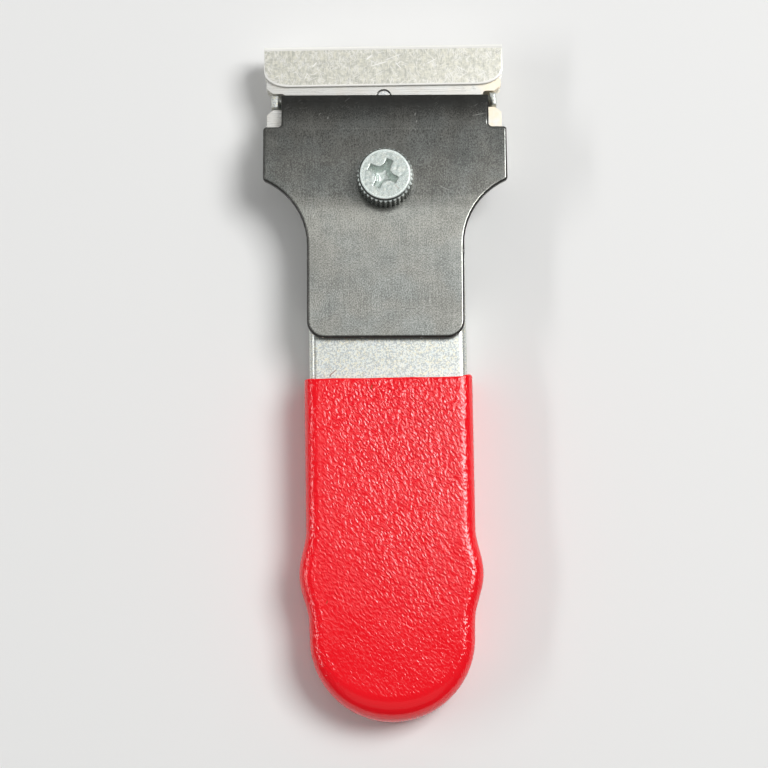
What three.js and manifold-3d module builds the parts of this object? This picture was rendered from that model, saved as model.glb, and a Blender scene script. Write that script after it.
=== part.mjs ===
// Razor scraper that clamps a stack of single-edge blades between a stamped frame and a clamp plate.
// Millimetres, +Z up. The tool lies on its back: +Y points to the cutting edges, +X to the right.
// While it is built, y is counted from the screw axis and z from the surface that the tool lies on.
import * as THREE from 'three';
import { mergeVertices } from 'three/addons/utils/BufferGeometryUtils.js';
import Module from 'manifold-3d';

const wasm = await Module();
wasm.setup();

// Gap left between pieces that touch
const gap = 0.06;

// Stamped frame: channel handle
const sheet = 1.2;
const handleWidth = 25.2;
const trayDepth = 8;
const sideBend = 1.2;
const endBend = 3.1;
const endRadius = 12.2;
const bulgeToEnd = 10.05;
const bulgeLength = 14.7;
const bulgeRise = 1.32;
const trayFront = -14;
const flangeTaper = 8;
const leastBend = 0.05;

// Stamped frame: step and head plate
const trayToStep = 1.4;
const stepRun = 7.5;
const shoulderRadius = 11.7;
const shoulderY = -10.5;
const headSetBack = 2.2;
const headToGuard = 0.5;
const cornerRound = 0.6;

// Lugs that the blades hook on
const lugY = 13.95;
const lugWidth = 2.1;
const lugSetIn = 0.75;
const lugProud = 0.2;
const lugBend = 0.4;
const lugRelief = 0.8;

// Pin that stands in the blades' middle holes
const pinClearance = 0.12;
const pinTenon = 1.3;
const pinBelowTop = 0.23;
const pinChamfer = 0.15;

// Dipped vinyl coat
const vinyl = 0.85;
const gripFront = -31.85;
const gripLength = 54.4;
const innerFillet = 0.6;

// Single-edge blades
const bladeCount = 5;
const bladeLength = 38.1;
const bladeHeight = 19.05;
const bladeThickness = 0.23;
const edgeGrind = 1.5;
const notchToEdge = 8.35;
const notchMouth = 4.4;
const notchThroat = 2.7;
const notchChamfer = 1.05;
const notchDepth = 2.95;
const notchRound = 0.5;
const bladeHole = 2.6;
const holeAheadOfNotch = 0.6;

// Folded spine of each blade
const spineSheet = 0.28;
const spineHeight = 5;
const spineShort = 0.6;
const crimpGap = 0.03;

// Clamp plate
const plateSheet = 1.5;
const plateOverhang = 0.65;
const plateNeck = 25.2;
const plateEarFront = 9.1;
const bareStrip = 6.3;
const tailRound = 2.8;
const crankY = -5;
const crankTurn = 2;
const crankRadius = 40;
const noseAheadOfLug = 0.2;
const noseRun = 4.4;
const noseSideGap = 0.34;
const plateHoleClearance = 0.35;

// Thumb screw
const thread = 3.9;
const headWidth = 9;
const headHeight = 4.8;
const capWidth = 8.25;
const capRise = 0.45;
const capRound = 0.15;
const knurlChamfer = 0.25;
const knurlTeeth = 36;
const knurlDepth = 0.28;
const recessWidth = 4.8;
const recessArm = 1;
const recessCorner = 0.88;
const recessDepth = 2.3;
const recessTaper = 0.55;
const recessTurn = -25;
const tipClear = 0.3;
const tipChamfer = 0.5;

// Clinch nut under the head plate
const nutWidth = 7.9;
const nutHeight = 2.2;
const nutPilot = 5.4;
const threadClearance = 0.1;

// Slip-on blade guard
const guardSheet = 0.5;
const guardOverhang = 0.35;
const guardDepth = 6.8;
const guardGap = 0.12;
const guardFrontGap = 0.3;
const guardBend = 0.35;
const guardCornerX = 4;
const guardCornerY = 2.5;

// Heights worked out from the sizes above
const rimZ = vinyl;
const webZ = rimZ + trayDepth;
const headZ = nutHeight + gap + sheet;
const spineThickness = bladeThickness + 2 * (crimpGap + spineSheet);
const bladePitch = spineThickness + gap;
const firstBladeZ = headZ + gap + spineSheet + crimpGap;
const stackTop = firstBladeZ + (bladeCount - 1) * bladePitch + bladeThickness;
const noseZ = stackTop + gap;
const plateZ = webZ + gap;
const plateTop = plateZ + plateSheet;
const screwSeat = plateTop + gap;

// Places worked out from the sizes above
const bladeEdge = lugY + notchToEdge;
const bladeBack = bladeEdge - bladeHeight;
const guardFront = bladeEdge + guardFrontGap + guardSheet;
const guardRear = guardFront - guardDepth;
const headFront = guardRear - headToGuard;
const lugOuter = bladeLength / 2 - lugSetIn;
const lugInner = lugOuter - sheet;
const holeY = lugY + holeAheadOfNotch;
const stepBack = trayFront + trayToStep;
const stepFront = stepBack + stepRun;
const plateTail = gripFront + bareStrip;
const gripEnd = gripFront - gripLength;
const endCentre = gripEnd + vinyl + endRadius;
const bulgeCentre = endCentre + bulgeToEnd;
const pastAll = 2 * (bladeLength + gripLength);

// Facets
const bendSteps = 5;
const roundSteps = 24;
const bulgeSteps = 12;
const endSteps = 20;
const threadSides = 32;

const axisX = new THREE.Vector3(1, 0, 0);
const axisY = new THREE.Vector3(0, 1, 0);
const axisZ = new THREE.Vector3(0, 0, 1);

// Solids and geometries

function solid(geometry) {
  const bare = geometry.clone();
  bare.deleteAttribute('normal');
  bare.deleteAttribute('uv');
  const merged = mergeVertices(bare);
  return new wasm.Manifold(new wasm.Mesh({
    numProp: 3,
    vertProperties: merged.attributes.position.array,
    triVerts: new Uint32Array(merged.index.array),
  }));
}

function geometryOf(manifold) {
  const mesh = manifold.getMesh();
  const geometry = new THREE.BufferGeometry();
  geometry.setAttribute('position', new THREE.BufferAttribute(mesh.vertProperties, 3));
  geometry.setIndex(new THREE.BufferAttribute(mesh.triVerts, 1));
  geometry.computeVertexNormals();
  return geometry;
}

// A plan outline, drawn in x and y, raised from low to high.
function raised(shape, low, high) {
  const geometry = new THREE.ExtrudeGeometry(shape, {
    depth: high - low,
    bevelEnabled: false,
    curveSegments: roundSteps,
  });
  return solid(geometry.translate(0, 0, low));
}

// A side profile, drawn in y and z, run across the tool from x = -width / 2 to width / 2.
function across(shape, width) {
  const geometry = new THREE.ExtrudeGeometry(shape, { depth: width, bevelEnabled: false });
  geometry.translate(0, 0, -width / 2);
  return solid(geometry.applyMatrix4(new THREE.Matrix4().makeBasis(axisY, axisZ, axisX)));
}

// A front profile, drawn in x and z, run along the tool over a length centred on y.
function along(shape, length, y) {
  const geometry = new THREE.ExtrudeGeometry(shape, { depth: length, bevelEnabled: false });
  const back = axisY.clone().negate();
  geometry.applyMatrix4(new THREE.Matrix4().makeBasis(axisX, axisZ, back));
  return solid(geometry.translate(0, y + length / 2, 0));
}

function roundBar(diameter, low, high, sides) {
  const geometry = new THREE.CylinderGeometry(diameter / 2, diameter / 2, high - low, sides);
  return solid(geometry.rotateX(Math.PI / 2).translate(0, 0, (low + high) / 2));
}

// A turned piece about z from a profile of [radius, height] pairs that starts and ends on the axis.
function turned(profile, sides) {
  const points = profile.map(([radius, height]) => new THREE.Vector2(radius, height));
  return solid(new THREE.LatheGeometry(points, sides).rotateX(Math.PI / 2));
}

// A closed solid through rings of points that run anticlockwise seen from above, lowest ring first.
function loft(rings) {
  const count = rings[0].length;
  const position = rings.flat().flatMap((p) => [p.x, p.y, p.z]);
  const index = [];
  for (let ring = 0; ring + 1 < rings.length; ring++) {
    for (let i = 0; i < count; i++) {
      const a = ring * count + i;
      const b = ring * count + ((i + 1) % count);
      index.push(a, b, a + count, b, b + count, a + count);
    }
  }
  const last = (rings.length - 1) * count;
  for (const [a, b, c] of THREE.ShapeUtils.triangulateShape(rings[0], [])) index.push(c, b, a);
  for (const [a, b, c] of THREE.ShapeUtils.triangulateShape(rings.at(-1), [])) {
    index.push(last + a, last + b, last + c);
  }
  const geometry = new THREE.BufferGeometry();
  geometry.setAttribute('position', new THREE.Float32BufferAttribute(position, 3));
  geometry.setIndex(index);
  return solid(geometry);
}

// The section of bent sheet: the path is one face, and the other lies to the left of it.
function sheetSection(path, thickness) {
  const face = path.getPoints(bendSteps);
  const turnLeft = (v) => new THREE.Vector2(-v.y, v.x);
  const other = face.map((point, i) => {
    const arriving = point.clone().sub(face[Math.max(i - 1, 0)]).normalize();
    const leaving = face[Math.min(i + 1, face.length - 1)].clone().sub(point).normalize();
    const normal = turnLeft(arriving.clone().add(leaving).normalize());
    const mitre = normal.dot(turnLeft(leaving.lengthSq() ? leaving : arriving));
    return point.clone().addScaledVector(normal, thickness / mitre);
  });
  return new THREE.Shape([...face, ...other.reverse()]);
}

// A plan outline that is the same on both sides, from the path of its right side, back to front.
function mirrored(path) {
  const right = path.getPoints(bendSteps);
  const left = right.filter((p) => p.x > 0).map((p) => new THREE.Vector2(-p.x, p.y));
  return new THREE.Shape([...right, ...left.reverse()]);
}

function mesh(name, manifold, material) {
  const made = new THREE.Mesh(geometryOf(manifold), material);
  made.name = name;
  return made;
}

// Materials

const finish = (color, roughness, metalness) =>
  new THREE.MeshStandardMaterial({ color, roughness, metalness });
const zincPlate = finish(0xc9ccc8, 0.42, 1);
const blackOxide = finish(0x3a3b3b, 0.55, 0.7);
const redVinyl = finish(0xe0141c, 0.45, 0);
const bladeSteel = finish(0xd6d6d2, 0.25, 1);
const spineSteel = finish(0xb5b7b8, 0.4, 1);

// Handle outline: stations along the left side, round the end and up the right side

function sideHalfWidth(y) {
  const bulgeStart = bulgeCentre + bulgeLength / 2;
  const taper = THREE.MathUtils.clamp((bulgeStart - y) / (bulgeStart - endCentre), 0, 1);
  const phase = THREE.MathUtils.clamp((bulgeStart - y) / bulgeLength, 0, 1);
  const swell = (1 - Math.cos(2 * Math.PI * phase)) / 2;
  return THREE.MathUtils.lerp(handleWidth / 2, endRadius, taper) + bulgeRise * swell;
}

function handleStations(front) {
  const ys = [front];
  for (let i = 0; i <= bulgeSteps; i++) {
    ys.push(bulgeCentre + bulgeLength * (0.5 - i / bulgeSteps));
  }
  const side = ys.map((y) => {
    const probe = 0.01;
    const slope = (sideHalfWidth(y + probe) - sideHalfWidth(y - probe)) / (2 * probe);
    const normal = new THREE.Vector2(1, -slope).normalize();
    return { x: sideHalfWidth(y), y, nx: normal.x, ny: normal.y, tip: 0 };
  });
  const end = [];
  for (let i = 0; i <= endSteps; i++) {
    const angle = Math.PI + (Math.PI * i) / endSteps;
    const [nx, ny] = [Math.cos(angle), Math.sin(angle)];
    end.push({ x: nx * endRadius, y: endCentre + ny * endRadius, nx, ny, tip: ny * ny });
  }
  const left = side.map((s) => ({ ...s, x: -s.x, nx: -s.nx }));
  return [...left, ...end, ...side.reverse()];
}

const bendRadius = (station) => THREE.MathUtils.lerp(sideBend, endBend, station.tip);

// The handle's outline moved out by offset, from low up to high, with its upper edge rounded.
function handleBlock(front, offset, low, high, radiusAt) {
  const stations = handleStations(front);
  const ring = (out, height) => stations.map((s) => {
    const moved = offset - out(s);
    return new THREE.Vector3(s.x + s.nx * moved, s.y + s.ny * moved, height(s));
  });
  const rings = [ring(() => 0, () => low)];
  for (let i = 0; i <= bendSteps; i++) {
    const turn = (Math.PI / 2) * (i / bendSteps);
    rings.push(ring(
      (s) => radiusAt(s) * (1 - Math.cos(turn)),
      (s) => high - radiusAt(s) * (1 - Math.sin(turn)),
    ));
  }
  return loft(rings);
}

// The steel channel with every face moved out by grow: 0 is the steel itself.
function handleChannel(front, grow) {
  const shell = handleBlock(front, grow, rimZ - grow, webZ + grow, (s) => bendRadius(s) + grow);
  const inner = sheet + grow;
  const hollow = handleBlock(
    front + sheet,
    -inner,
    -vinyl,
    webZ - inner,
    (s) => Math.max(bendRadius(s) - inner, leastBend),
  );
  return shell.subtract(hollow);
}

// Stamped frame

function headOutline() {
  const neck = handleWidth / 2;
  const head = bladeLength / 2;
  const arcX = neck + shoulderRadius;
  const arcEnd = Math.acos((head - arcX) / shoulderRadius);
  const cutY = lugY - lugWidth / 2 - lugRelief;
  const cutX = lugInner - lugBend - lugRelief;
  const path = new THREE.Path();
  path.moveTo(0, trayFront - sheet);
  path.lineTo(neck - sideBend, trayFront - sheet);
  path.lineTo(neck - sideBend, trayFront);
  path.lineTo(neck, trayFront);
  path.absarc(arcX, shoulderY + headSetBack, shoulderRadius, Math.PI, arcEnd, true);
  path.absarc(head - cornerRound, cutY - cornerRound, cornerRound, 0, Math.PI / 2, false);
  path.lineTo(cutX, cutY);
  path.lineTo(cutX, headFront);
  path.lineTo(0, headFront);
  return mirrored(path);
}

function headSection() {
  const reach = (stepFront - stepBack) / 2;
  const path = new THREE.Path();
  path.moveTo(headFront + sheet, headZ);
  path.lineTo(stepFront, headZ);
  path.bezierCurveTo(stepFront - reach, headZ, stepBack + reach, webZ, stepBack, webZ);
  path.lineTo(trayFront - 2 * sheet, webZ);
  return sheetSection(path, sheet);
}

function lug(side) {
  const top = stackTop + lugProud;
  const path = new THREE.Path();
  path.moveTo(lugInner - lugBend - lugRelief - sheet, headZ);
  path.lineTo(lugInner - lugBend, headZ);
  path.absarc(lugInner - lugBend, headZ + lugBend, lugBend, -Math.PI / 2, 0, false);
  path.lineTo(lugInner, top);
  const points = sheetSection(path, -sheet).getPoints();
  const placed = points.map((p) => new THREE.Vector2(side * p.x, p.y));
  return along(new THREE.Shape(placed), lugWidth, lugY);
}

function handleFrame() {
  const taperCut = new THREE.Shape([
    new THREE.Vector2(trayFront + sheet, webZ - sheet),
    new THREE.Vector2(trayFront, webZ - sheet),
    new THREE.Vector2(trayFront - flangeTaper, rimZ - sheet),
    new THREE.Vector2(trayFront + sheet, rimZ - sheet),
  ]);
  const head = raised(headOutline(), 0, webZ + sheet).intersect(across(headSection(), pastAll));
  return handleChannel(trayFront, 0)
    .subtract(across(taperCut, pastAll))
    .add(head)
    .add(lug(1))
    .add(lug(-1))
    .subtract(roundBar(nutPilot + 2 * gap, 0, webZ, threadSides))
    .subtract(roundBar(pinTenon + 2 * gap, 0, webZ, threadSides).translate([0, holeY, 0]));
}

// Locating pin, riveted flush in the head plate

function locatingPin() {
  const radius = bladeHole / 2 - pinClearance;
  const top = stackTop - pinBelowTop;
  return turned([
    [0, headZ - sheet],
    [pinTenon / 2, headZ - sheet],
    [pinTenon / 2, headZ + gap],
    [radius, headZ + gap],
    [radius, top - pinChamfer],
    [radius - pinChamfer, top],
    [0, top],
  ], threadSides).translate([0, holeY, 0]);
}

// Dipped vinyl coat, inside and outside the channel

function vinylGrip() {
  const coat = handleBlock(trayFront, vinyl, 0, webZ + vinyl, (s) => bendRadius(s) + vinyl);
  const hollow = handleBlock(
    trayFront + sheet,
    -sheet - vinyl,
    -vinyl,
    webZ - sheet - vinyl,
    () => innerFillet,
  );
  const bare = raised(new THREE.Shape([
    new THREE.Vector2(-pastAll, gripFront),
    new THREE.Vector2(pastAll, gripFront),
    new THREE.Vector2(pastAll, pastAll),
    new THREE.Vector2(-pastAll, pastAll),
  ]), -pastAll, pastAll);
  return coat.subtract(hollow).subtract(handleChannel(trayFront, gap)).subtract(bare);
}

// Clinch nut

function clinchNut() {
  const pilotTop = headZ - gap;
  const bore = thread + 2 * threadClearance;
  return turned([
    [0, 0],
    [nutWidth / 2, 0],
    [nutWidth / 2, nutHeight],
    [nutPilot / 2, nutHeight],
    [nutPilot / 2, pilotTop],
    [0, pilotTop],
  ], threadSides).subtract(roundBar(bore, -nutHeight, webZ, threadSides));
}

// Single-edge blade, its lower face at z = 0

function bladeOutline() {
  const end = bladeLength / 2;
  const throat = end - notchChamfer;
  const floor = end - notchDepth;
  const half = notchThroat / 2;
  const path = new THREE.Path();
  path.moveTo(0, bladeBack);
  path.lineTo(end, bladeBack);
  path.lineTo(end, lugY - notchMouth / 2);
  path.lineTo(throat, lugY - half);
  path.lineTo(floor + notchRound, lugY - half);
  path.absarc(floor + notchRound, lugY - half + notchRound, notchRound, -Math.PI / 2, -Math.PI, true);
  path.absarc(floor + notchRound, lugY + half - notchRound, notchRound, Math.PI, Math.PI / 2, true);
  path.lineTo(throat, lugY + half);
  path.lineTo(end, lugY + notchMouth / 2);
  path.lineTo(end, bladeEdge);
  path.lineTo(0, bladeEdge);
  const outline = mirrored(path);
  const hole = new THREE.Path();
  hole.absarc(0, holeY, bladeHole / 2, 0, 2 * Math.PI, true);
  outline.holes.push(hole);
  return outline;
}

function blade() {
  const ground = new THREE.Shape([
    new THREE.Vector2(bladeBack - edgeGrind, 0),
    new THREE.Vector2(bladeEdge - edgeGrind, 0),
    new THREE.Vector2(bladeEdge, bladeThickness / 2),
    new THREE.Vector2(bladeEdge - edgeGrind, bladeThickness),
    new THREE.Vector2(bladeBack - edgeGrind, bladeThickness),
  ]);
  return raised(bladeOutline(), -bladeThickness, 2 * bladeThickness).intersect(across(ground, pastAll));
}

// Folded spine round the back of a blade, with the blade's lower face at z = 0

function bladeSpine() {
  const front = bladeBack + spineHeight;
  const middle = bladeThickness / 2;
  const back = bladeBack - middle;
  const fold = middle + crimpGap;
  const path = new THREE.Path();
  path.moveTo(front, -crimpGap);
  path.lineTo(back + fold, -crimpGap);
  path.absarc(back + fold, middle, fold, -Math.PI / 2, -1.5 * Math.PI, true);
  path.lineTo(front, bladeThickness + crimpGap);
  return across(sheetSection(path, spineSheet), bladeLength - spineShort);
}

// Clamp plate: flat on the handle, cranked down a little at the screw, nose bent down on the blades

function plateOutline() {
  const neck = plateNeck / 2;
  const ear = bladeLength / 2 + plateOverhang;
  const nose = lugInner - noseSideGap;
  const arcX = neck + shoulderRadius;
  const arcEnd = Math.acos((ear - arcX) / shoulderRadius);
  const path = new THREE.Path();
  path.moveTo(0, plateTail);
  path.lineTo(neck - tailRound, plateTail);
  path.absarc(neck - tailRound, plateTail + tailRound, tailRound, -Math.PI / 2, 0, false);
  path.absarc(arcX, shoulderY, shoulderRadius, Math.PI, arcEnd, true);
  path.absarc(ear - cornerRound, plateEarFront - cornerRound, cornerRound, 0, Math.PI / 2, false);
  path.absarc(nose + cornerRound, plateEarFront + cornerRound, cornerRound, -Math.PI / 2, -Math.PI, true);
  path.lineTo(nose, bladeEdge);
  path.lineTo(0, bladeEdge);
  return mirrored(path);
}

function plateSection() {
  const slope = THREE.MathUtils.degToRad(crankTurn);
  const noseY = lugY + noseAheadOfLug;
  const noseStart = noseY - noseRun;
  const crankEnd = crankY + crankRadius * Math.sin(slope);
  const crankLow = plateZ - crankRadius * (1 - Math.cos(slope));
  const startZ = crankLow - (noseStart - crankEnd) * Math.tan(slope);
  const drop = startZ - noseZ;
  const sweep = 2 * (Math.atan2(drop, noseRun) - slope);
  const radius = Math.hypot(noseRun, drop) / (2 * Math.sin(sweep / 2));
  const centreY = noseStart - radius * Math.sin(slope);
  const centreZ = startZ - radius * Math.cos(slope);
  const upright = Math.PI / 2;
  const path = new THREE.Path();
  path.moveTo(plateTail - plateSheet, plateZ);
  path.lineTo(crankY, plateZ);
  path.absarc(crankY, plateZ - crankRadius, crankRadius, upright, upright - slope, true);
  path.absarc(centreY, centreZ, radius, upright - slope, upright - slope - sweep, true);
  return sheetSection(path, plateSheet);
}

function clampPlate() {
  return raised(plateOutline(), 0, plateTop + plateSheet)
    .intersect(across(plateSection(), pastAll))
    .subtract(roundBar(thread + 2 * plateHoleClearance, 0, plateTop + plateSheet, threadSides));
}

// Thumb screw, seated at z = 0

function knurledHead() {
  const ring = (limit, height) => {
    const points = [];
    for (let i = 0; i < 2 * knurlTeeth; i++) {
      const angle = (Math.PI * i) / knurlTeeth;
      const crest = headWidth / 2 - (i % 2) * knurlDepth;
      const radius = Math.min(crest, limit);
      points.push(new THREE.Vector3(radius * Math.cos(angle), radius * Math.sin(angle), height));
    }
    return points;
  };
  const root = headWidth / 2 - knurlDepth;
  const shoulder = headHeight - capRise;
  return loft([
    ring(root, 0),
    ring(headWidth / 2, knurlDepth),
    ring(headWidth / 2, shoulder - knurlChamfer),
    ring(headWidth / 2 - knurlChamfer, shoulder),
    ring(capWidth / 2, shoulder),
    ring(capWidth / 2, headHeight - capRound),
    ring(capWidth / 2 - capRound, headHeight),
  ]);
}

function crossRecess() {
  const reach = recessWidth / 2;
  const corners = [[reach, -recessArm / 2], [reach, recessArm / 2], [recessCorner, recessCorner]];
  const ring = (scale, height) => {
    const points = [];
    for (let i = 0; i < 4; i++) {
      const turn = (Math.PI / 2) * i + THREE.MathUtils.degToRad(recessTurn);
      for (const [x, y] of corners) {
        const p = new THREE.Vector2(x, y).multiplyScalar(scale).rotateAround(new THREE.Vector2(), turn);
        points.push(new THREE.Vector3(p.x, p.y, height));
      }
    }
    return points;
  };
  const floor = headHeight - recessDepth;
  return loft([
    ring(recessTaper, floor),
    ring(1, headHeight),
    ring(1, headHeight + recessDepth),
  ]);
}

function thumbScrew() {
  const tip = tipClear - screwSeat;
  const shank = turned([
    [0, tip],
    [thread / 2 - tipChamfer, tip],
    [thread / 2, tip + tipChamfer],
    [thread / 2, knurlDepth],
    [0, knurlDepth],
  ], threadSides);
  return knurledHead().add(shank).subtract(crossRecess());
}

// Blade guard: folded sheet with rounded rear corners

function guardSection() {
  const low = firstBladeZ - guardGap;
  const high = stackTop + guardGap;
  const inside = guardFront - guardSheet;
  const path = new THREE.Path();
  path.moveTo(guardRear, high);
  path.lineTo(inside - guardBend, high);
  path.absarc(inside - guardBend, high - guardBend, guardBend, Math.PI / 2, 0, true);
  path.absarc(inside - guardBend, low + guardBend, guardBend, 0, -Math.PI / 2, true);
  path.lineTo(guardRear, low);
  return sheetSection(path, guardSheet);
}

function bladeGuard() {
  const half = bladeLength / 2 + guardOverhang;
  const path = new THREE.Path();
  path.moveTo(0, guardRear);
  path.lineTo(half - guardCornerX, guardRear);
  path.absellipse(
    half - guardCornerX,
    guardRear + guardCornerY,
    guardCornerX,
    guardCornerY,
    -Math.PI / 2,
    0,
    false,
  );
  path.lineTo(half, guardFront + guardSheet);
  path.lineTo(0, guardFront + guardSheet);
  const outline = raised(mirrored(path), 0, plateTop);
  return outline.intersect(across(guardSection(), pastAll));
}

// Assembly

const scraper = new THREE.Group();

const frame = new THREE.Group();
frame.add(mesh('handle_frame', handleFrame(), zincPlate));
frame.add(mesh('vinyl_grip', vinylGrip(), redVinyl));
frame.add(mesh('clinch_nut', clinchNut(), zincPlate));
frame.add(mesh('locating_pin', locatingPin(), spineSteel));
for (let i = 0; i < bladeCount; i++) {
  const height = firstBladeZ + i * bladePitch;
  const edge = mesh(`blade_${i + 1}`, blade(), bladeSteel);
  const spine = mesh(`blade_spine_${i + 1}`, bladeSpine(), spineSteel);
  edge.position.z = height;
  spine.position.z = height;
  frame.add(edge, spine);
}

const clamp = new THREE.Group();
clamp.add(mesh('clamp_plate', clampPlate(), blackOxide));
const screw = mesh('thumb_screw', thumbScrew(), zincPlate);
screw.position.z = screwSeat;
clamp.add(screw);

scraper.add(frame, clamp, mesh('blade_guard', bladeGuard(), zincPlate));

// The origin goes under the middle of the tool.
const middle = new THREE.Group();
scraper.position.y = -(guardFront + gripEnd) / 2;
middle.add(scraper);

export default middle;
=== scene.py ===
import math

import bmesh
import bpy
from mathutils import Matrix, Vector, noise


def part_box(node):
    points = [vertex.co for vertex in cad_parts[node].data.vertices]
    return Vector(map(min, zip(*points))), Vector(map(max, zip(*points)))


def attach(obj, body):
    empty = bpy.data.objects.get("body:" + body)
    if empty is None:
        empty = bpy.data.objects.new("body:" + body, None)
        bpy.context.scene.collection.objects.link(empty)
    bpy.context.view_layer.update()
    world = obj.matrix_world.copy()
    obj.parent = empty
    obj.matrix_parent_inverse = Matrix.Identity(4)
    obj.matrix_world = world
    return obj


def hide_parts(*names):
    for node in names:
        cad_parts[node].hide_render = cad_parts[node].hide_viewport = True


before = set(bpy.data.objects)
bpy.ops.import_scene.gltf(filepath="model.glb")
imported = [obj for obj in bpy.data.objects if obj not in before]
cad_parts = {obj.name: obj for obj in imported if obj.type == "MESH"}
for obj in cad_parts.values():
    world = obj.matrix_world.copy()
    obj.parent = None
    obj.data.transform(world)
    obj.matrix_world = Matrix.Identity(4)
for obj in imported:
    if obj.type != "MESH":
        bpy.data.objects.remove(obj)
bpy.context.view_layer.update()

mm = 0.001  # the frame is in metres, sizes below are in millimetres
print("frame loaded:", len(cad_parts), "nodes")


def lerp(start, end, part):
    return start + (end - start) * part


def smooth(low, high, value):
    part = min(max((value - low) / (high - low), 0.0), 1.0)
    return part * part * (3 - 2 * part)


def quarter(steps):
    # the angles of a quarter turn, both ends included
    return [math.pi / 2 * step / steps for step in range(steps + 1)]


# Shader sums and nodes

class Wire:
    # a shader socket that takes part in Python sums, each sum adds one Math node
    def __init__(self, tree, socket):
        self.tree = tree
        self.socket = socket

    def maths(self, operation, first, second=0.0):
        node = self.tree.nodes.new("ShaderNodeMath")
        node.operation = operation
        plug(self.tree, node.inputs[0], first)
        plug(self.tree, node.inputs[1], second)
        return Wire(self.tree, node.outputs[0])

    def __add__(self, other):
        return self.maths("ADD", self, other)

    def __sub__(self, other):
        return self.maths("SUBTRACT", self, other)

    def __rsub__(self, other):
        return self.maths("SUBTRACT", other, self)

    def __mul__(self, other):
        return self.maths("MULTIPLY", self, other)

    def __abs__(self):
        return self.maths("ABSOLUTE", self)

    __radd__ = __add__
    __rmul__ = __mul__


def plug(tree, socket, value):
    if isinstance(value, Wire):
        tree.links.new(value.socket, socket)
    elif socket.type == "RGBA":
        socket.default_value = (*value[:3], 1.0)
    else:
        socket.default_value = value


class Nodes:
    # one node tree: node() adds any node, the rest are short names for what is used most
    def __init__(self, tree):
        self.tree = tree

    def node(self, kind, settings, values, output=0):
        made = self.tree.nodes.new("ShaderNode" + kind)
        for name, value in settings.items():
            setattr(made, name, value)
        for name, value in values.items():
            plug(self.tree, made.inputs[name], value)
        return Wire(self.tree, made.outputs[output])

    def spot(self):
        return self.node("TexCoord", {}, {}, "Object")

    def place(self, scale=(1, 1, 1), turn=0.0):
        # the piece's own coordinates in millimetres, turned about z, then scaled
        turned = self.node("Mapping", {}, {"Vector": self.spot(), "Rotation": (0, 0, math.radians(turn))})
        grown = tuple(part / mm for part in scale)
        return self.node("Mapping", {}, {"Vector": turned, "Scale": grown})

    def noise(self, where, size, detail=2.0, rough=0.5, warp=0.0):
        values = {
            "Vector": where,
            "Scale": 1 / size,
            "Detail": detail,
            "Roughness": rough,
            "Distortion": warp,
        }
        return self.node("TexNoise", {"noise_dimensions": "3D"}, values)

    def grain(self, sizes, detail=2.0, rough=0.5, warp=0.0, turn=0.0):
        # noise with its own size along each axis
        where = self.place(tuple(1 / size for size in sizes), turn)
        return self.noise(where, 1.0, detail, rough, warp)

    def sway(self, value):
        # noise moved to swing about zero
        return value - 0.5

    def band(self, value, low, high):
        # 0 below low, 1 above high, smooth between
        settings = {"interpolation_type": "SMOOTHSTEP"}
        return self.node("MapRange", settings, {"Value": value, "From Min": low, "From Max": high})

    def most(self, first, second):
        return self.node("Math", {"operation": "MAXIMUM"}, {0: first, 1: second})

    def least(self, first, second):
        return self.node("Math", {"operation": "MINIMUM"}, {0: first, 1: second})

    def mix(self, mask, first, second):
        return self.node("Mix", {"data_type": "RGBA"}, {0: mask, 6: first, 7: second}, 2)

    def axis(self, name, where):
        return self.node("SeparateXYZ", {}, {"Vector": where}, name)

    def facing(self, name):
        return self.axis(name, self.node("NewGeometry", {}, {}, "Normal"))

    def attribute(self, name):
        return self.node("Attribute", {"attribute_name": name}, {}, "Fac")

    def bump(self, height, depth, under=None):
        values = {"Height": height, "Distance": depth * mm, "Strength": 1.0}
        if under:
            values["Normal"] = under
        return self.node("Bump", {}, values)


class Finish(Nodes):
    # one material with its main shader
    def __init__(self, name, **fixed):
        self.material = bpy.data.materials.new(name)
        self.material.use_nodes = True
        super().__init__(self.material.node_tree)
        self.shader = self.tree.nodes["Principled BSDF"]
        self.set(fixed)
        print("finish:", name)

    def set(self, values):
        for name, value in values.items():
            plug(self.tree, self.shader.inputs[name], value)


# Scratches: long thin noise streaks at a few angles, only where a second noise lets them

scratchShape = {"soft": 0.05, "gateBand": (0.48, 0.6), "gateTurn": 40, "gateStep": 17}


def scratches(finish, angles, length, width, cut, patch):
    total = 0.0
    for count, angle in enumerate(angles):
        streak = finish.grain((length, width, 1), 1.0, turn=angle)
        gateTurn = angle + scratchShape["gateTurn"] + scratchShape["gateStep"] * count
        gate = finish.noise(finish.place(turn=gateTurn), patch, 1.0)
        shown = finish.band(gate, *scratchShape["gateBand"])
        total = total + finish.band(streak, cut, cut + scratchShape["soft"]) * shown
    return finish.least(total, 1.0)


strokeShape = {"fullLength": 0.25, "fullWidth": 0.2, "end": 0.5}  # shares of a stroke's length and width


def marks(finish, strokes):
    # single strokes, each given by its middle in millimetres, its turn, length and width
    total = 0.0
    for x, y, turn, length, width in strokes:
        values = {
            "Vector": finish.spot(),
            "Location": (x * mm, y * mm, 0),
            "Rotation": (0, 0, math.radians(turn)),
        }
        own = finish.node("Mapping", {"vector_type": "TEXTURE"}, values)
        end = strokeShape["end"]
        reach = abs(finish.axis("X", own))
        along = 1 - finish.band(reach, strokeShape["fullLength"] * length * mm, end * length * mm)
        aside = abs(finish.axis("Y", own))
        across = 1 - finish.band(aside, strokeShape["fullWidth"] * width * mm, end * width * mm)
        total = total + along * across
    return finish.least(total, 1.0)


# Finishes: sizes and depths in millimetres, a band is where a mask starts and where it is full

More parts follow.
